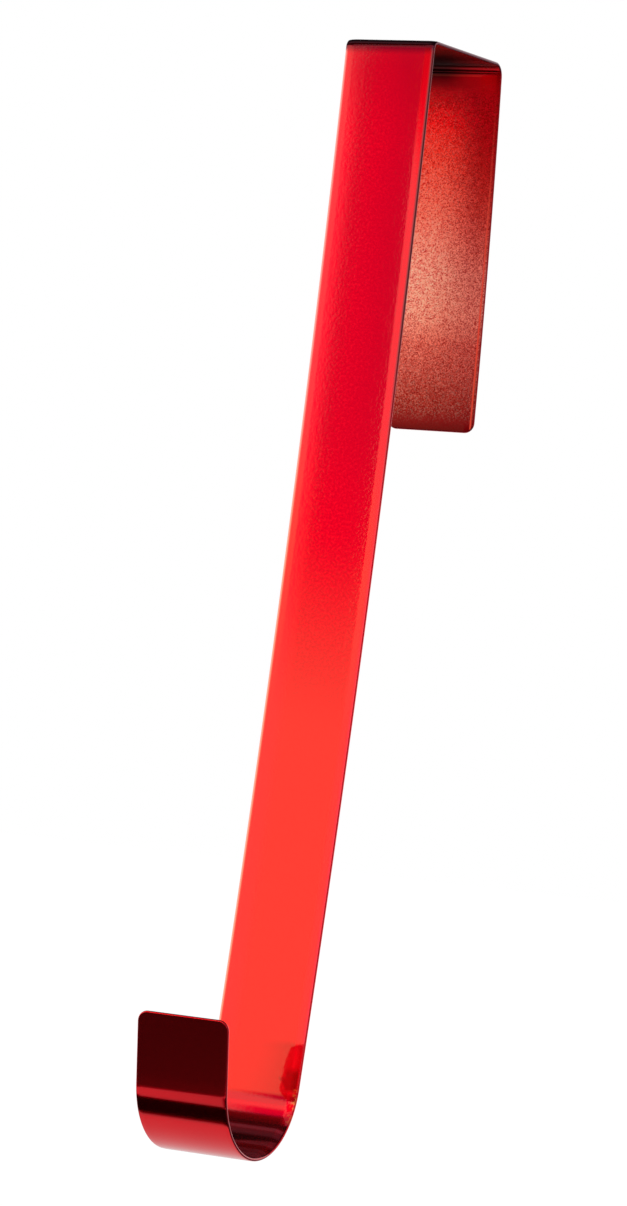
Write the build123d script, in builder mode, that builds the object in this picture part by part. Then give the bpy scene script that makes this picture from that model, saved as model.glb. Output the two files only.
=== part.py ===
import os
from math import degrees

from build123d import *

# Wreath hanger: one strip of steel sheet, bent once into a long hook that hangs over a door.
# Frame: +Z up, +X across the strip, -Y towards the room. The origin is the middle of the
# bridge's underside, where the strip sits on the door. Millimetres and degrees.

# Strip as cut from the sheet
strip_width = 30.0
strip_thickness = 1.2
rim_easing = 0.45  # radius on every sheared edge
end_corner_radius = 3.2  # both ends, seen face-on

# Bridge over the door
door_thickness = 44.5
door_clearance = 2.5
front_bend_radius = 1.6  # inside of the bend
rear_bend_radius = 3.6  # inside of the bend
bend_angle = 87.3  # just short of square, so that the legs stand open for the door

# Front leg, down the face of the door
front_leg_length = 314.9
front_leg_bow_radius = 3200.0  # bows towards the door halfway down

# Back leg, down the rear of the door
back_leg_length = 110.7
back_leg_bow_radius = 1700.0  # curls back towards the door

# Hook for the wreath
hook_inside_radius = 21.9
hook_angle = 164.9  # leaves the tip leaning outwards
tip_length = 21.6

# The flat of the bridge is what the two bends leave of the door's thickness and its clearance
bridge_flat = door_thickness + door_clearance - front_bend_radius - rear_bend_radius
front_leg_sweep = degrees(front_leg_length / front_leg_bow_radius)
back_leg_sweep = degrees(back_leg_length / back_leg_bow_radius)

# A thin sheet has no room for the whole easing
rim_radius = min(rim_easing, 0.45 * strip_thickness)

with BuildPart() as wreath_hanger:
    # Side view of the strip, drawn along the face that lies against the door
    with BuildSketch(Plane.YZ):
        with BuildLine():
            bridge = Line((-bridge_flat / 2, 0), (bridge_flat / 2, 0))
            front_bend = JernArc(bridge @ 0, (-1, 0), front_bend_radius, bend_angle)
            front_leg = JernArc(front_bend @ 1, front_bend % 1, front_leg_bow_radius, -front_leg_sweep)
            hook = JernArc(front_leg @ 1, front_leg % 1, hook_inside_radius + strip_thickness, -hook_angle)
            tip = Line(hook @ 1, hook @ 1 + tip_length * (hook % 1))
            rear_bend = JernArc(bridge @ 1, (1, 0), rear_bend_radius, -bend_angle)
            back_leg = JernArc(rear_bend @ 1, rear_bend % 1, back_leg_bow_radius, -back_leg_sweep)
            offset(amount=strip_thickness, side=Side.LEFT)
        make_face()
    extrude(amount=strip_width / 2, both=True)

    # The two sheared ends are the smallest flats, and their corners run through the sheet
    ends = wreath_hanger.faces().filter_by(GeomType.PLANE).group_by(SortBy.AREA)[0]
    fillet(ends.edges().filter_by(Axis.X, reverse=True), end_corner_radius)

    # The rims of both faces are all edges but those through the sheet and those along the bends
    through_edges = wreath_hanger.edges().filter_by(GeomType.LINE).group_by(SortBy.LENGTH)[0]
    bend_lines = wreath_hanger.edges().filter_by(Axis.X).group_by(SortBy.LENGTH)[-1]
    fillet(wreath_hanger.edges() - through_edges - bend_lines, rim_radius)

os.makedirs("parts", exist_ok=True)
wreath_hanger.part.label = "wreath_hanger"
export_step(wreath_hanger.part, "parts/wreath_hanger.step")
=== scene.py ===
import math

import bmesh
import bpy
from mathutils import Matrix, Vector


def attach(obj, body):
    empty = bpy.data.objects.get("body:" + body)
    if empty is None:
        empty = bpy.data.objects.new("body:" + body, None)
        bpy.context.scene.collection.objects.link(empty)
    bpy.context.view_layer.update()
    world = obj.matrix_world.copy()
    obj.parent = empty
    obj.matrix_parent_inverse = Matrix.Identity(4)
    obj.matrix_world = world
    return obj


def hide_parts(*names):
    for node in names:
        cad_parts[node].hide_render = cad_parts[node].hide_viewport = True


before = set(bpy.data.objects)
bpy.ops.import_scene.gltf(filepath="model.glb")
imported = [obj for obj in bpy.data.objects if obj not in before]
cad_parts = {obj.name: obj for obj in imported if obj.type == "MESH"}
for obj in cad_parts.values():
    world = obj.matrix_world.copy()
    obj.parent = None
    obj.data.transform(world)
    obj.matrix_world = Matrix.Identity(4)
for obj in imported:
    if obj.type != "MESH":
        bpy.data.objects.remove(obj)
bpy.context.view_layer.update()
print("frame loaded")

# Metres, in the frame of the CAD: +Z up, +X across the strip, -Y towards the room.
# The origin is the middle of the bridge's underside, where the strip sits on the door.


def deselectAll():
    if bpy.context.object and bpy.context.object.mode != "OBJECT":
        bpy.ops.object.mode_set(mode="OBJECT")
    bpy.ops.object.select_all(action="DESELECT")


def useOnly(thing):
    deselectAll()
    thing.select_set(True)
    bpy.context.view_layer.objects.active = thing


# the hanger: a flat blank, rounded at its rims, then bent along its side view

hanger = {
    "width": 0.030,
    "thickness": 0.0012,
    "cornerRadius": 0.0032,  # both ends, seen face-on
    "cornerSteps": 8,
    "noseRadius": 0.000424,  # the rounded rim itself
    "noseSteps": 6,
    # the rolled-over band along the rim: its width, and its slope where it meets the rim
    "roomRoll": (0.00255, math.radians(7.9)),
    "doorRoll": (0.0014, math.radians(5.0)),
    "rollSteps": 8,
    "lastRing": 0.00015,  # one more ring inside the band
    "doorSideMap": 0.1,  # how far the door side lies from the room side on the UV map
    "bridgeMiddle": (0.0, 0.0, 0.0006),
    "startHeading": -83.238,  # the tip's direction, seen from the +X side
    # middle line of the sheet, from the hook's tip to the end of the back leg:
    # radius (0 for straight), length (straight) or turn in degrees, number of cuts
    "runs": (
        ("tip", 0.0, 0.0216, 6),
        ("hook", 0.0225, 164.9, 64),
        ("frontLeg", 3.1994, 5.6383, 48),
        ("frontBend", 0.0022, -87.3, 18),
        ("bridge", 0.0, 0.0418, 6),
        ("rearBend", 0.0042, -87.3, 18),
        ("backLeg", 1.7006, -3.7310, 20),
    ),
}


def walkRuns(spec):
    here = Vector((0.0, 0.0))
    heading = math.radians(spec["startHeading"])
    points = [here.copy()]
    starts = {}
    for name, radius, amount, cuts in spec["runs"]:
        starts[name] = len(points) - 1
        turn = math.radians(amount) if radius else 0.0
        chord = 2 * radius * math.sin(abs(turn) / cuts / 2) if radius else amount / cuts
        for cut in range(cuts):
            heading += turn / cuts / 2
            here = here + chord * Vector((math.cos(heading), math.sin(heading)))
            heading += turn / cuts / 2
            points.append(here.copy())
    starts["end"] = len(points) - 1
    stations = [0.0]
    for before, after in zip(points, points[1:]):
        stations.append(stations[-1] + (after - before).length)
    return points, stations, starts


def selectByNormal(thing, axis, sign):
    shape = bmesh.from_edit_mesh(thing.data)
    for face in shape.faces:
        face.select_set(face.normal[axis] * sign > 0.5)
    bmesh.update_edit_mesh(thing.data)


def rimLine(spec, rollWidth, rollSlope):
    # how far in from the outline and how far up from the middle of the sheet each ring lies
    drop = rollWidth * math.tan(rollSlope) / 2
    end = math.pi / 2 - rollSlope
    radius = spec["noseRadius"]
    wall = spec["thickness"] / 2 - drop - radius * math.sin(end)
    line = [(0.0, 0.0)]
    if wall > 1e-5:
        line.append((0.0, wall))
    wall = max(wall, 0.0)
    for step in range(1, spec["noseSteps"] + 1):
        angle = end * step / spec["noseSteps"]
        line.append((radius * (1 - math.cos(angle)), wall + radius * math.sin(angle)))
    inner, height = line[-1]
    for step in range(1, spec["rollSteps"] + 1):
        share = step / spec["rollSteps"]
        line.append((inner + rollWidth * share, height + drop * (1 - (1 - share) ** 2)))
    line.append((line[-1][0] + spec["lastRing"], line[-1][1]))
    return line


def raiseSide(line):
    for (inA, upA), (inB, upB) in zip(line, line[1:]):
        bpy.ops.mesh.inset(thickness=max(inB - inA, 1e-7), depth=upB - upA, use_even_offset=True)


def makeHanger(spec):
    points, stations, starts = walkRuns(spec)
    length = stations[-1]

    deselectAll()
    bpy.ops.mesh.primitive_plane_add(size=1, location=(length / 2, 0, 0))
    strip = bpy.context.object
    strip.name = "bentStrip"
    strip.scale = (length, spec["width"], 1)
    bpy.ops.object.transform_apply(location=True, rotation=True, scale=True)

    bpy.ops.object.mode_set(mode="EDIT")
    bpy.ops.mesh.select_all(action="SELECT")
    bpy.ops.mesh.bevel(offset=spec["cornerRadius"], segments=spec["cornerSteps"], affect="VERTICES")
    bpy.ops.mesh.select_all(action="SELECT")
    bpy.ops.mesh.duplicate()
    bpy.ops.mesh.flip_normals()
    selectByNormal(strip, 2, 1)
    raiseSide(rimLine(spec, *spec["roomRoll"]))
    selectByNormal(strip, 2, -1)
    raiseSide(rimLine(spec, *spec["doorRoll"]))
    bpy.ops.mesh.select_all(action="SELECT")
    bpy.ops.mesh.remove_doubles(threshold=2e-6)

    reach = 1.05 * spec["cornerRadius"]
    for station in stations:
        if reach < station < length - reach:
            bpy.ops.mesh.select_all(action="SELECT")
            bpy.ops.mesh.bisect(plane_co=(station, 0, 0), plane_no=(1, 0, 0), threshold=1e-7)
    bpy.ops.mesh.select_all(action="SELECT")
    bpy.ops.mesh.normals_make_consistent(inside=False)
    bpy.ops.object.mode_set(mode="OBJECT")
    print("blank:", len(strip.data.vertices), "vertices, length", round(length, 4))

    # the flat blank's own coordinates: U across the strip and V along it
    flat = strip.data.uv_layers.new(name="flatStrip")
    for face in strip.data.polygons:
        side = 0.0 if face.center.z > 0 else spec["doorSideMap"]
        for loop in face.loop_indices:
            place = strip.data.vertices[strip.data.loops[loop].vertex_index].co
            flat.data[loop].uv = (place.y + side, place.x)

    # how far round the rim a point lies: 1 at the middle of the sheet, 0 on its faces
    rim = strip.data.attributes.new("rimShare", "FLOAT", "POINT")
    nose = spec["thickness"] / 2
    for vertex in strip.data.vertices:
        rim.data[vertex.index].value = max(0.0, 1 - abs(vertex.co.z) / nose)

    strip.rotation_euler = (math.radians(-90), 0, 0)
    bpy.ops.object.transform_apply(location=False, rotation=True, scale=False)

    line = bpy.data.curves.new("bendLine", "CURVE")
    line.dimensions = "2D"
    spline = line.splines.new("POLY")
    spline.points.add(len(points) - 1)
    for spot, point in zip(spline.points, points):
        spot.co = (point.x, point.y, 0, 1)
    guide = bpy.data.objects.new("bendLine", line)
    bpy.context.collection.objects.link(guide)
    bend = strip.modifiers.new("bend", "CURVE")
    bend.object = guide
    bend.deform_axis = "POS_X"
    useOnly(strip)
    bpy.ops.object.modifier_apply(modifier="bend")
    bpy.data.objects.remove(guide)

    first = points[starts["bridge"]]
    last = points[starts["rearBend"]]
    middle = (first + last) / 2
    target = Vector(spec["bridgeMiddle"])
    strip.rotation_euler = (math.radians(90), 0, math.radians(90))
    strip.location = (target.x, target.y - middle.x, target.z - middle.y)
    bpy.ops.object.transform_apply(location=True, rotation=True, scale=False)
    bpy.ops.object.mode_set(mode="EDIT")
    bpy.ops.mesh.select_all(action="SELECT")
    bpy.ops.mesh.normals_make_consistent(inside=False)
    bpy.ops.object.mode_set(mode="OBJECT")
    bpy.ops.object.shade_smooth()
    marks = {name: stations[index] for name, index in starts.items()}
    print("bent: lowest", [round(min(v.co[i] for v in strip.data.vertices), 5) for i in range(3)],
          "highest", [round(max(v.co[i] for v in strip.data.vertices), 5) for i in range(3)])
    return strip, marks


# red lacquer over rolled steel

lacquer = {
    # Metres above the hook, below the front fold, or across from the strip's middle line (+ is
    # the -X side). Two values say where a colour begins and is full, four also where it ebbs
    # and ends.
    # the room side
    "colour": (0.74, 0.0002, 0.008, 1.0),
    "deepColour": (0.66, 0.0004, 0.008, 1.0),  # where it lies thicker
    "cloudSize": 0.045,
    "deepFrom": (0.2, 0.9),  # in the clouds' noise
    "shadedColour": (0.56, 0.0004, 0.007, 1.0),  # painted shade, towards the fold and one rim
    "shadedBelowFold": (0.20, 0.06),
    "shadedAcross": (0.004, -0.013),
    "shadedLeg": 0.75,  # how strong it is down the leg, and how much less beside the rims
    "shadedLess": 0.6,
    "topBelowFold": (0.03, 0.0),
    "topShade": 0.5,
    "foldShadeColour": (0.22, 0.0004, 0.006, 1.0),  # painted shade along the front fold
    "foldBelowFold": (0.0024, -0.0004),
    "rimHighlightColour": (0.98, 0.0012, 0.018, 1.0),  # painted highlight next to the rims
    "besideLeft": (0.006, 0.0125),
    "besideRight": (-0.0114, -0.0128),
    "paleHighlightColour": (1.0, 0.30, 0.26, 1.0),  # painted highlight, paler still inside one rim
    "paleAcross": (0.0134, 0.0150),
    "hookPatchColour": (0.46, 0.0004, 0.004, 1.0),  # a darker patch above the hook
    "hookPatchAcross": (-0.0086, -0.0104),
    "hookPatchAboveHook": (-0.0015, 0.0, 0.004, 0.007),
    "hookPatchWander": 0.006,  # how far its rim wanders, and over what length
    "wanderSize": 0.0022,
    "chipColour": (1.0, 0.22, 0.06, 1.0),  # chips on the rim beside the hook
    "chipAcross": (-0.0132, -0.0140),
    "chipAboveHook": (-0.014, -0.012, 0.0, 0.001),
    "chipSize": 0.0016,
    "chipFrom": (0.50, 0.56),  # in the chips' noise
    "nibColour": (1.0, 0.55, 0.48, 1.0),  # dust in the lacquer
    "nibSpacing": 0.014,
    "nibSize": 0.000416,
    "nibHeight": 20e-6,
    "nibless": 0.55,  # share of the places that have no nib
    # fine grain of the upper leg
    "dullGrain": (0.64, 0.0002, 0.006, 1.0),
    "dullFrom": (0.50, 0.36),  # in the grain's noise
    "brightGrain": (0.10, 0.002, 0.004, 1.0),
    "brightFrom": (0.50, 0.64),
    "fineGrainSize": 0.0008,
    "fineGrainAboveHook": (0.10, 0.14),
    # rims: a worn, greyer colour, with painted highlights and painted shade along them
    "rimFrom": (0.15, 0.32),  # on the way round the rim, 0 on the faces and 1 at its middle
    "rimColour": (0.55, 0.035, 0.05, 1.0),
    "lowRimHighlight": (1.0, 0.015, 0.04, 1.0),  # painted highlight on the lower part of the front leg, painted shade on the upper part
    "highRimShade": (0.20, 0.03, 0.035, 1.0),
    "highRimAboveHook": (0.16, 0.24),
    "hookRimAboveHook": (-0.02, -0.03),
    "leftRimHighlight": (1.0, 0.42, 0.36, 1.0),  # painted highlight on the front leg's rim on the -X side
    "leftRimAcross": (0.0, 0.001),
    # painted shade on the rims over the bridge
    "bridgeRimShade": (0.14, 0.03, 0.05, 1.0),
    "rimFoldWidth": 0.002,  # over which the rims' colours change at the fold
    "rimRearWidth": 0.003,  # and at the end of the rear bend
    # the door side
    "backShadeColour": (0.40, 0.001, 0.006, 1.0),  # painted shade on the rear of the front leg
    "backAboveHook": (0.0, 0.03),
    # painted shade under the bridge and round the rear bend
    "bridgeShadeColour": (0.26, 0.003, 0.008, 1.0),
    "bridgeBelowFold": (0.004, 0.0),
    "bridgeFade": 0.003,  # over which it gives way to the back leg's spray
    "legShadeColour": (0.44, 0.0012, 0.006, 1.0),  # painted shade along one rim of the back leg, where the front leg hides it
    "legShadeAcross": (0.005, -0.012),
    "edgeHighlightColour": (1.0, 0.12, 0.08, 1.0),  # painted highlight, a thin line just inside the rims
    "edgeAcross": (0.0135, 0.0138, 0.0140, 0.0144),
    "grainShadow": (0.60, 0.05, 0.12, 1.0),  # the dry spray's grains, from dark to bright
    "grainShine": (1.42, 2.0, 2.2, 1.0),
    "glint": (0.12, 0.13, 0.12, 1.0),  # painted glints between them
    "glintFrom": (0.45, 1.0),  # in the grains' chance
    "grain": 7e-6,  # height of the dry spray
    "grainSize": 0.00032,
    "grainBelowBend": (-0.001, 0.008),  # below the rear bend
    # shares of the way down the back leg, from the bridge (0) to its end (1)
    "dryShare": (0.01, 0.07, 0.93, 0.99),
    "legShadeShare": (1.15, 0.0),
    "glintShare": (-0.05, 0.35),
    "edgeShare": (0.0, 0.7),
    # the back leg's colour down its length: painted shade below the bridge and towards its end, a painted
    # highlight in the middle
    "backLeg": (
        (0.000, (0.04, 0.0003, 0.001, 1)),
        (0.025, (0.15, 0.001, 0.003, 1)),
        (0.045, (0.38, 0.001, 0.004, 1)),
        (0.13, (0.88, 0.004, 0.006, 1)),
        (0.25, (0.95, 0.055, 0.032, 1)),
        (0.38, (1.00, 0.150, 0.100, 1)),
        (0.46, (1.00, 0.240, 0.175, 1)),
        (0.56, (1.00, 0.345, 0.260, 1)),
        (0.67, (0.98, 0.325, 0.240, 1)),
        (0.75, (0.70, 0.130, 0.098, 1)),
        (0.83, (0.55, 0.072, 0.056, 1)),
        (0.92, (0.37, 0.024, 0.018, 1)),
        (0.97, (0.27, 0.007, 0.010, 1)),
        (1.00, (0.14, 0.001, 0.004, 1)),
    ),
    # gloss
    "roughness": 0.19,
    "doorRoughness": 0.16,
    "dryRoughness": 0.34,
    "rolling": 1.0,  # the steel spreads its gloss across the strip
    "rollMarks": 0.5e-6,
    "rollMarkSize": 0.0004,
    "rollMarkStretch": (1.0, 0.04, 1.0),  # long marks along the strip
    "coatRoughness": 0.03,
    "coatIor": 1.5,
    "roomCoat": 1.0,  # sprayed from the room side
    "doorCoat": 0.43,
    "bridgeCoat": 0.12,
    "peel": 5e-6,  # height of the lacquer's orange peel
    "doorPeel": 1.2e-6,
    "steelPeel": 0.3,  # share of it that the steel's own gloss shows
    "peelSize": 0.0016,
    "finePeel": 4e-6,  # height of the fine grain
}


def newNode(tree, kind, **settings):
    node = tree.nodes.new("ShaderNode" + kind)
    for name, value in settings.items():
        setattr(node, name, value)
    return node


def feed(tree, node, **sources):
    # named after the sockets, or i0, i1 and so on: a node's output is linked, anything else is set
    for name, source in sources.items():
        place = int(name[1:]) if name[1:].isdigit() else name.replace("_", " ")
        socket = node.inputs[place]
        if isinstance(source, bpy.types.NodeSocket):
            tree.links.new(source, socket)
        else:
            socket.default_value = source
    return node


def sums(tree, kind, first, second=0.0, clamp=False):
    node = newNode(tree, "Math", operation=kind, use_clamp=clamp)
    return feed(tree, node, i0=first, i1=second).outputs[0]


def times(tree, first, *others):
    for other in others:
        first = sums(tree, "MULTIPLY", first, other)
    return first


def fade(tree, value, start, end):
    node = newNode(tree, "MapRange", interpolation_type="SMOOTHSTEP")
    return feed(tree, node, Value=value, From_Min=start, From_Max=end).outputs[0]


def span(tree, value, start, full, ebb, end):
    return times(tree, fade(tree, value, start, full), fade(tree, value, end, ebb))


def levels(tree, value, low, high):
    node = newNode(tree, "MapRange")
    return feed(tree, node, Value=value, To_Min=low, To_Max=high).outputs[0]


def blendColour(tree, share, first, second, kind="MIX"):
    node = newNode(tree, "MixRGB", blend_type=kind)
    return feed(tree, node, i0=share, i1=first, i2=second).outputs[0]


def rampOf(tree, value, stops):
    node = newNode(tree, "ValToRGB")
    feed(tree, node, Fac=value)
    ramp = node.color_ramp
    for place, colour in stops[1:-1]:
        ramp.elements.new(place)
    for element, (place, colour) in zip(ramp.elements, stops):
        element.position = place
        element.color = colour
    return node.outputs[0]


def noiseAt(tree, place, size, detail=2.0, stretch=None):
    if stretch:
        spread = newNode(tree, "Mapping")
        place = feed(tree, spread, Vector=place, Scale=stretch).outputs[0]
    node = newNode(tree, "TexNoise")
    return feed(tree, node, Vector=place, Scale=1 / size, Detail=detail).outputs[0]


def cellsAt(tree, place, size):
    # random cells: the distance from each one's middle, and two chances that belong to it
    node = newNode(tree, "TexVoronoi", feature="F1")
    feed(tree, node, Vector=place, Scale=1 / size)
    chance = newNode(tree, "SeparateColor")
    feed(tree, chance, Color=node.outputs["Color"])
    return node.outputs["Distance"], chance.outputs[0], chance.outputs[1]


def bumpOf(tree, height, depth, below=None):
    node = newNode(tree, "Bump")
    feed(tree, node, Height=height, Distance=depth, Strength=1.0)
    if below:
        feed(tree, node, Normal=below)
    return node.outputs[0]


def placesOn(tree, flat, marks, doorSideMap):
    # where a point lies on the strip, in metres
    parts = feed(tree, newNode(tree, "SeparateXYZ"), Vector=flat).outputs
    along = parts[1]
    return {
        "across": sums(tree, "SUBTRACT", parts[0], doorSideMap),
        "aboveHook": sums(tree, "SUBTRACT", along, marks["frontLeg"]),
        "belowFold": sums(tree, "SUBTRACT", marks["frontBend"], along),
        "pastBridge": sums(tree, "SUBTRACT", along, marks["rearBend"]),
        "belowBend": sums(tree, "SUBTRACT", along, marks["backLeg"]),
    }


def roomSide(tree, spec, flat, at, colour):
    distance, chance, tint = cellsAt(tree, flat, spec["nibSpacing"])
    near = fade(tree, distance, spec["nibSize"] / spec["nibSpacing"], 0.0)
    nib = times(tree, near, sums(tree, "GREATER_THAN", chance, spec["nibless"]))
    colour = blendColour(tree, times(tree, nib, tint), colour, spec["nibColour"])

    # painted highlights: brighter beside both rims, paler still inside one rim
    left = fade(tree, at["across"], *spec["besideLeft"])
    right = fade(tree, at["across"], *spec["besideRight"])
    beside = sums(tree, "ADD", left, right)
    colour = blendColour(tree, beside, colour, spec["rimHighlightColour"])
    pale = fade(tree, at["across"], *spec["paleAcross"])
    colour = blendColour(tree, times(tree, pale, pale), colour, spec["paleHighlightColour"])

    # a darker patch with a wandering edge just above the hook, by one rim
    uneven = sums(tree, "SUBTRACT", noiseAt(tree, flat, spec["wanderSize"]), 0.5)
    nearRim = sums(tree, "ADD", at["across"], times(tree, uneven, spec["hookPatchWander"]))
    hookPatch = span(tree, at["aboveHook"], *spec["hookPatchAboveHook"])
    hookPatch = times(tree, hookPatch, fade(tree, nearRim, *spec["hookPatchAcross"]))
    colour = blendColour(tree, hookPatch, colour, spec["hookPatchColour"])

    # painted shade: darker towards the fold and along one rim of the leg's upper half
    shaded = fade(tree, at["belowFold"], *spec["shadedBelowFold"])
    shaded = times(tree, shaded, fade(tree, at["across"], *spec["shadedAcross"]))
    less = times(tree, beside, spec["shadedLess"])
    shaded = times(tree, shaded, sums(tree, "SUBTRACT", spec["shadedLeg"], less))
    top = times(tree, fade(tree, at["belowFold"], *spec["topBelowFold"]), spec["topShade"])
    shaded = sums(tree, "ADD", shaded, top, True)
    colour = blendColour(tree, shaded, colour, spec["shadedColour"])
    # painted shade in the crease along the front fold
    foldShade = fade(tree, at["belowFold"], *spec["foldBelowFold"])
    return blendColour(tree, foldShade, colour, spec["foldShadeColour"]), nib


def chipsOf(tree, spec, flat, at):
    patches = fade(tree, noiseAt(tree, flat, spec["chipSize"]), *spec["chipFrom"])
    beside = fade(tree, at["across"], *spec["chipAcross"])
    return times(tree, patches, beside, span(tree, at["aboveHook"], *spec["chipAboveHook"]))


def doorSide(tree, spec, flat, at, share, colour, onBridge):
    # painted shade on the rear of the front leg
    behind = fade(tree, at["aboveHook"], *spec["backAboveHook"])
    behind = times(tree, behind, sums(tree, "SUBTRACT", 1.0, onBridge))
    colour = blendColour(tree, behind, colour, spec["backShadeColour"])

    # the back leg: a painted highlight over grainy spray in the middle, painted shade along one rim
    sprayAndHighlight = rampOf(tree, share, spec["backLeg"])
    sparkle, chance = cellsAt(tree, flat, spec["grainSize"])[1:]
    dry = span(tree, share, *spec["dryShare"])
    legShade = fade(tree, at["across"], *spec["legShadeAcross"])
    legShade = times(tree, legShade, fade(tree, share, *spec["legShadeShare"]))
    sprayAndHighlight = blendColour(tree, legShade, sprayAndHighlight, spec["legShadeColour"])
    grains = blendColour(tree, sparkle, spec["grainShadow"], spec["grainShine"])
    grains = blendColour(tree, 1.0, sprayAndHighlight, grains, "MULTIPLY")
    sprayAndHighlight = blendColour(tree, dry, sprayAndHighlight, grains)
    # painted glints on the spray's grains
    glint = times(tree, fade(tree, chance, *spec["glintFrom"]), dry)
    glint = times(tree, glint, fade(tree, share, *spec["glintShare"]))
    glint = times(tree, glint, sums(tree, "SUBTRACT", 1.0, legShade, True))
    sprayAndHighlight = blendColour(tree, glint, sprayAndHighlight, spec["glint"], "ADD")
    # a painted highlight just inside the rims
    beside = span(tree, sums(tree, "ABSOLUTE", at["across"]), *spec["edgeAcross"])
    beside = times(tree, beside, fade(tree, share, *spec["edgeShare"]))
    sprayAndHighlight = blendColour(tree, beside, sprayAndHighlight, spec["edgeHighlightColour"])

    # painted shade under the bridge
    bent = fade(tree, at["pastBridge"], 0.0, spec["bridgeFade"])
    sprayAndHighlight = blendColour(tree, bent, spec["bridgeShadeColour"], sprayAndHighlight)
    return blendColour(tree, onBridge, colour, sprayAndHighlight), sparkle


def rimColourOf(tree, spec, at):
    # the rims' worn colour, with painted shade over the bridge and painted highlights and shade along the
    # front leg
    pastFold = fade(tree, at["belowFold"], spec["rimFoldWidth"], 0.0)
    overDoor = times(tree, pastFold, fade(tree, at["belowBend"], 0.0, -spec["rimRearWidth"]))
    colour = blendColour(tree, overDoor, spec["rimColour"], spec["bridgeRimShade"])
    upward = fade(tree, at["aboveHook"], *spec["highRimAboveHook"])
    onLeg = blendColour(tree, upward, spec["lowRimHighlight"], spec["highRimShade"])
    left = fade(tree, at["across"], *spec["leftRimAcross"])
    onLeg = blendColour(tree, left, onLeg, spec["leftRimHighlight"])
    onHook = fade(tree, at["aboveHook"], *spec["hookRimAboveHook"])
    onLeg = blendColour(tree, onHook, onLeg, spec["rimColour"])
    return blendColour(tree, pastFold, onLeg, colour)


def makeLacquer(name, spec, marks, doorSideMap=0.0):
    onDoorSide = doorSideMap > 0
    material = bpy.data.materials.new(name)
    material.use_nodes = True
    tree = material.node_tree
    shader = tree.nodes["Principled BSDF"]
    flat = newNode(tree, "UVMap", uv_map="flatStrip").outputs[0]
    at = placesOn(tree, flat, marks, doorSideMap)

    deep = fade(tree, noiseAt(tree, flat, spec["cloudSize"]), *spec["deepFrom"])
    colour = blendColour(tree, deep, spec["colour"], spec["deepColour"])
    # fine grain, which the lower leg and the hook don't show
    upperLeg = fade(tree, at["aboveHook"], *spec["fineGrainAboveHook"])
    fineGrain = noiseAt(tree, flat, spec["fineGrainSize"], 3.0)
    dull = times(tree, fade(tree, fineGrain, *spec["dullFrom"]), upperLeg)
    bright = times(tree, fade(tree, fineGrain, *spec["brightFrom"]), upperLeg)
    colour = blendColour(tree, dull, colour, spec["dullGrain"])
    colour = blendColour(tree, bright, colour, spec["brightGrain"], "ADD")

    # the steel's roll marks, and the lacquer's orange peel over them
    peel = noiseAt(tree, flat, spec["peelSize"])
    peelHeight = spec["doorPeel"] if onDoorSide else spec["peel"]
    rolled = noiseAt(tree, flat, spec["rollMarkSize"], stretch=spec["rollMarkStretch"])
    steelBump = bumpOf(tree, rolled, spec["rollMarks"])
    steelBump = bumpOf(tree, peel, spec["steelPeel"] * peelHeight, steelBump)
    coatBump = bumpOf(tree, peel, peelHeight)

    if onDoorSide:
        share = sums(tree, "DIVIDE", at["belowBend"], marks["end"] - marks["backLeg"])
        onBridge = fade(tree, at["belowFold"], *spec["bridgeBelowFold"])
        colour, sparkle = doorSide(tree, spec, flat, at, share, colour, onBridge)
        grainy = fade(tree, at["belowBend"], *spec["grainBelowBend"])
        height = times(tree, sparkle, grainy)
        steelBump = bumpOf(tree, height, spec["grain"], steelBump)
        coatBump = bumpOf(tree, height, spec["grain"], coatBump)
        rough = levels(tree, grainy, spec["doorRoughness"], spec["dryRoughness"])
        coat = levels(tree, onBridge, spec["doorCoat"], spec["bridgeCoat"])
        feed(tree, shader, Roughness=rough, Coat_Weight=coat)
    else:
        colour, nib = roomSide(tree, spec, flat, at, colour)
        coatBump = bumpOf(tree, times(tree, fineGrain, upperLeg), spec["finePeel"], coatBump)
        coatBump = bumpOf(tree, nib, spec["nibHeight"], coatBump)
        feed(tree, shader, Roughness=spec["roughness"], Coat_Weight=spec["roomCoat"])

    rim = newNode(tree, "Attribute", attribute_name="rimShare").outputs["Fac"]
    onRim = fade(tree, rim, *spec["rimFrom"])
    colour = blendColour(tree, onRim, colour, rimColourOf(tree, spec, at))
    if not onDoorSide:
        colour = blendColour(tree, chipsOf(tree, spec, flat, at), colour, spec["chipColour"])

    feed(tree, shader, Base_Color=colour, Metallic=1.0, Anisotropic=spec["rolling"])
    feed(tree, shader, Coat_Roughness=spec["coatRoughness"], Coat_IOR=spec["coatIor"])
    feed(tree, shader, Normal=steelBump, Coat_Normal=coatBump)
    tangent = newNode(tree, "Tangent", direction_type="UV_MAP", uv_map="flatStrip")
    feed(tree, shader, Tangent=tangent.outputs[0])
    return material


strip, marks = makeHanger(hanger)
strip.data.materials.append(makeLacquer("roomSideLacquer", lacquer, marks))
strip.data.materials.append(makeLacquer("doorSideLacquer", lacquer, marks, hanger["doorSideMap"]))
flatPlaces = strip.data.uv_layers["flatStrip"].data
for face in strip.data.polygons:
    face.material_index = 1 if flatPlaces[face.loop_indices[0]].uv.x > hanger["doorSideMap"] / 2 else 0
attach(strip, "root")
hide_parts("wreath_hanger")
print("hanger made")


# the studio

studio = {
    "floorHeight": -0.60,
    "floorSize": 12.0,
    "floorColour": (0.45, 0.45, 0.45, 1),
    "floorSeen": 0.86,  # the glow that makes it white to the camera
    "floorShine": 0.67,  # and the glow that the lacquer sees
    "worldStrength": 1.0,
    "worldFill": 0.5,
}

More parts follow.
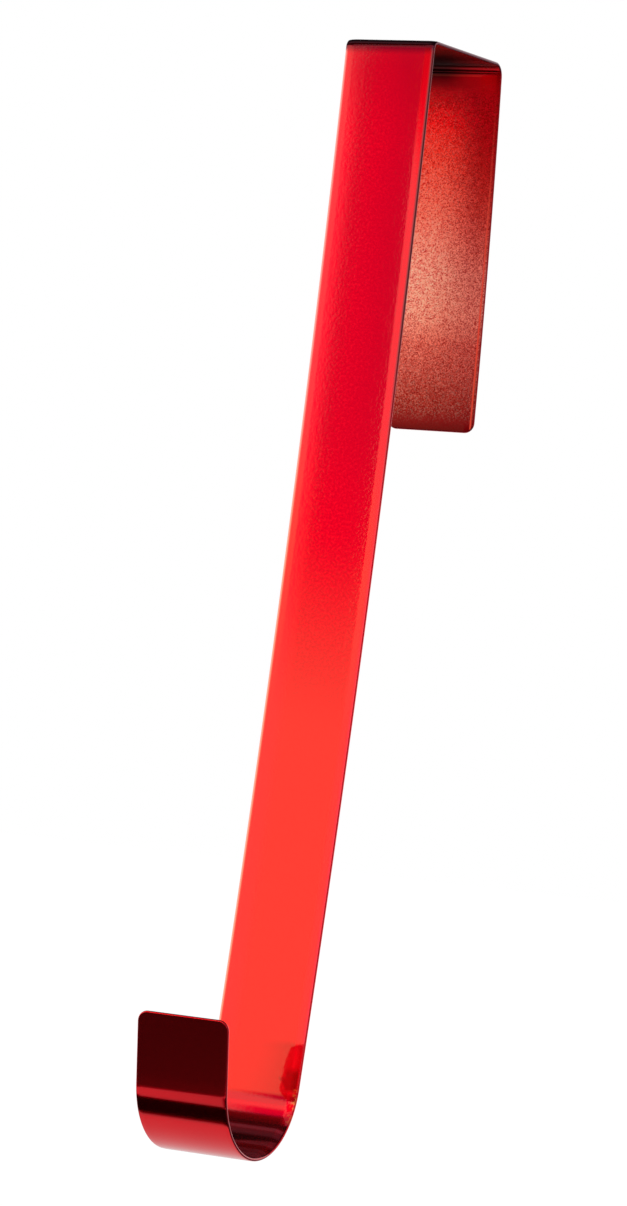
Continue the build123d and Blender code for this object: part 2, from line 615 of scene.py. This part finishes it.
# cards seen only in the lacquer, each hung upright at an angle round the hanger:
# name, angle from -Y towards +X, lean, distance, left, right, low, high, colour, strength,
# soft edges left, right, low, high
uprightCards = (
    ("gapFlag", -30, 0, 0.80, 0.004, 0.054, -0.072, 0.40, (0, 0.02, 1, 1), 0.26, 0.020, 0.003, 0.075, 0.01),
    ("topRight", -30, 0, 0.79, 0.04, 0.30, 0.125, 0.40, (0.9, 0.01, 0.06, 1), 1.10, 0.02, 0.1, 0.03, 0.01),
    ("hookGap", -30, -20.7, 0.8, -0.143, -0.077, 0.24, 0.67,
     (0.02, 0.02, 1, 1), 0.30, 0.02, 0.02, 0.12, 0.02),
    ("tipFlag", -32, 0, 0.60, -0.50, 0.60, -0.530, -0.30, (1, 1, 1, 1), 0.045, 0.06, 0.02, 0.010, 0.02),
    ("lowKey", -30, 0, 0.85, -0.30, 0.30, -0.28, 0.06, (1, 0.76, 0.44, 1), 1.62, 0.1, 0.1, 0.03, 0.06),
    ("leftKey", -30, 0, 0.90, -0.34, 0.01, -0.25, 0.62, (1, 0.70, 0.64, 1), 1.50, 0.06, 0.01, 0.03, 0.01),
    ("hookKey", -30, 0, 0.89, -0.36, -0.02, 0.20, 0.61, (1, 0.45, 0.45, 1), 2.0, 0.06, 0.02, 0.05, 0.01),
    ("rightKey", -30, 0, 0.93, 0.055, 0.42, -0.05, 0.62, (1, 0.78, 0.72, 1), 1.20, 0.01, 0.10, 0.09, 0.10),
    ("sideFlag", 35, 0, 0.85, -0.42, 0.65, -0.55, 0.50, (1, 0.6, 0.6, 1), 0.35, 0.12, 0.10, 0.05, 0.10),
    ("cornerKey", -48, 0, 0.52, -0.12, 0.035, -0.56, -0.435, (1, 0.8, 0.8, 1), 1.2, 0.02, 0.03, 0.01, 0.03),
    ("bandEnd", -5, 0, 0.40, -0.12, 0.35, -0.57, -0.45, (0.8, 0.8, 1, 1), 0.03, 0.03, 0.05, 0.01, 0.01),
    ("upperFlag", -30, 0, 0.54, -0.40, -0.04, 0.22, 1.40, (0.8, 0.8, 1, 1), 0.03, 0.04, 0.02, 0.10, 0.01),
    ("foldFlag", -30, 0, 0.53, -0.05, 1.2, 0.080, 1.40, (1, 0.4, 0.6, 1), 0.60, 0.02, 0.1, 0.18, 0.01),
    ("rightFlag", 95, 0, 0.80, -1.10, 0.9, -0.59, 1.60, (1, 0.25, 0.35, 1), 0.42, 0.25, 0.1, 0.01, 0.01),
)
# and laid level: name, height, x and y from, x and y to, colour, strength,
# soft edges left, right, front, back
levelCards = (
    ("ceilingFlag", 0.76, -1.6, -1.0, 1.6, 1.5, (0.8, 0.8, 1, 1), 0.02, 0.1, 0.1, 0.45, 0.1),
    ("ceilingLine", 0.75, -1.2, -0.30, -0.2, -0.15, (0.9, 0.75, 1, 1), 0.30, 0.1, 0.1, 0.03, 0.03),
    ("ceilingBand", 0.74, -1.2, -0.16, -0.2, 0.10, (0.9, 0.75, 1, 1), 0.14, 0.1, 0.1, 0.02, 0.10),
    ("ceilingEnd", 0.74, -1.2, 0.53, -0.2, 0.95, (0.9, 0.75, 1, 1), 0.10, 0.1, 0.1, 0.12, 0.15),
    ("floorFlag", -0.595, -0.9, -0.458, 0.6, -0.207, (1, 1, 1, 1), 0.0, 0.05, 0.05, 0.01, 0.02),
    ("floorLeft", -0.594, -0.9, -0.26, -0.25, -0.06, (1, 1, 1, 1), 0.0, 0.05, 0.04, 0.01, 0.05),
    ("floorRight", -0.594, 0.05, -1.5, 2.0, 1.6, (0.8, 0.8, 1, 1), 0.10, 0.1, 0.1, 0.1, 0.1),
)


def emptyTree(owner):
    owner.use_nodes = True
    owner.node_tree.nodes.clear()
    return owner.node_tree


def cardLight(name, size, colour, strength, soft):
    material = bpy.data.materials.new(name)
    tree = emptyTree(material)
    place = newNode(tree, "TexCoord").outputs["UV"]
    sides = feed(tree, newNode(tree, "SeparateXYZ"), Vector=place).outputs
    shown = times(
        tree,
        fade(tree, sides[0], 0.0, soft[0] / size[0]),
        fade(tree, sides[0], 1.0, 1 - soft[1] / size[0]),
        fade(tree, sides[1], 0.0, soft[2] / size[1]),
        fade(tree, sides[1], 1.0, 1 - soft[3] / size[1]),
    )
    clear = newNode(tree, "BsdfTransparent").outputs[0]
    glow = feed(tree, newNode(tree, "Emission"), Color=colour, Strength=strength).outputs[0]
    card = feed(tree, newNode(tree, "MixShader"), i0=shown, i1=clear, i2=glow).outputs[0]
    feed(tree, newNode(tree, "OutputMaterial"), Surface=card)
    return material


def finishCard(card, name, size, colour, strength, soft):
    card.name = name
    card.scale = (size[0], size[1], 1)
    card.data.materials.append(cardLight(name, size, colour, strength, soft))
    card.visible_camera = False
    card.visible_diffuse = False
    card.visible_shadow = False


def hangCard(name, angle, lean, distance, left, right, low, high, colour, strength, *soft):
    turn = math.radians(angle)
    across = (left + right) / 2
    spot = (
        distance * math.sin(turn) + across * math.cos(turn),
        -0.03 - distance * math.cos(turn) + across * math.sin(turn),
        (low + high) / 2,
    )
    facing = (math.pi / 2, math.radians(lean), turn)
    deselectAll()
    bpy.ops.mesh.primitive_plane_add(size=1, location=spot, rotation=facing)
    finishCard(bpy.context.object, name, (right - left, high - low), colour, strength, soft)


def layCard(name, height, xFrom, yFrom, xTo, yTo, colour, strength, *soft):
    spot = ((xFrom + xTo) / 2, (yFrom + yTo) / 2, height)
    deselectAll()
    bpy.ops.mesh.primitive_plane_add(size=1, location=spot)
    finishCard(bpy.context.object, name, (xTo - xFrom, yTo - yFrom), colour, strength, soft)


def makeFloor(spec):
    deselectAll()
    bpy.ops.mesh.primitive_plane_add(size=spec["floorSize"], location=(0, 0, spec["floorHeight"]))
    floor = bpy.context.object
    floor.name = "floor"
    material = bpy.data.materials.new("paleFloor")
    tree = emptyTree(material)
    paint = feed(tree, newNode(tree, "BsdfDiffuse"), Color=spec["floorColour"]).outputs[0]
    seen = newNode(tree, "LightPath").outputs["Is Camera Ray"]
    level = levels(tree, seen, spec["floorShine"], spec["floorSeen"])
    glow = feed(tree, newNode(tree, "Emission"), Strength=level).outputs[0]
    both = feed(tree, newNode(tree, "AddShader"), i0=paint, i1=glow).outputs[0]
    feed(tree, newNode(tree, "OutputMaterial"), Surface=both)
    floor.data.materials.append(material)


def makeWorld(spec):
    world = bpy.data.worlds.new("studioWorld")
    bpy.context.scene.world = world
    tree = emptyTree(world)
    rays = newNode(tree, "LightPath").outputs
    white = sums(tree, "MAXIMUM", rays["Is Camera Ray"], rays["Is Glossy Ray"])
    white = sums(tree, "MAXIMUM", white, rays["Is Transmission Ray"])
    plain = newNode(tree, "Background")
    feed(tree, plain, Strength=spec["worldFill"])
    shown = newNode(tree, "Background")
    feed(tree, shown, Color=(1, 1, 1, 1), Strength=spec["worldStrength"])
    mix = newNode(tree, "MixShader")
    feed(tree, mix, i0=white, i1=plain.outputs[0], i2=shown.outputs[0])
    feed(tree, newNode(tree, "OutputWorld"), Surface=mix.outputs[0])


for row in uprightCards:
    hangCard(*row)
for row in levelCards:
    layCard(*row)
makeFloor(studio)
makeWorld(studio)
print("studio made")

camera = {
    "place": (0.641573, -1.276284, -0.178468),
    "turn": (90.3059, -4.9280, 27.4384),
    "lens": 138.887,
}


def makeCamera(spec):
    data = bpy.data.cameras.new("camera")
    data.lens = spec["lens"]
    data.sensor_width = 36.0
    view = bpy.data.objects.new("camera", data)
    view.location = spec["place"]
    view.rotation_euler = [math.radians(angle) for angle in spec["turn"]]
    bpy.context.collection.objects.link(view)
    bpy.context.scene.camera = view


makeCamera(camera)
bpy.context.scene.view_settings.view_transform = "Standard"
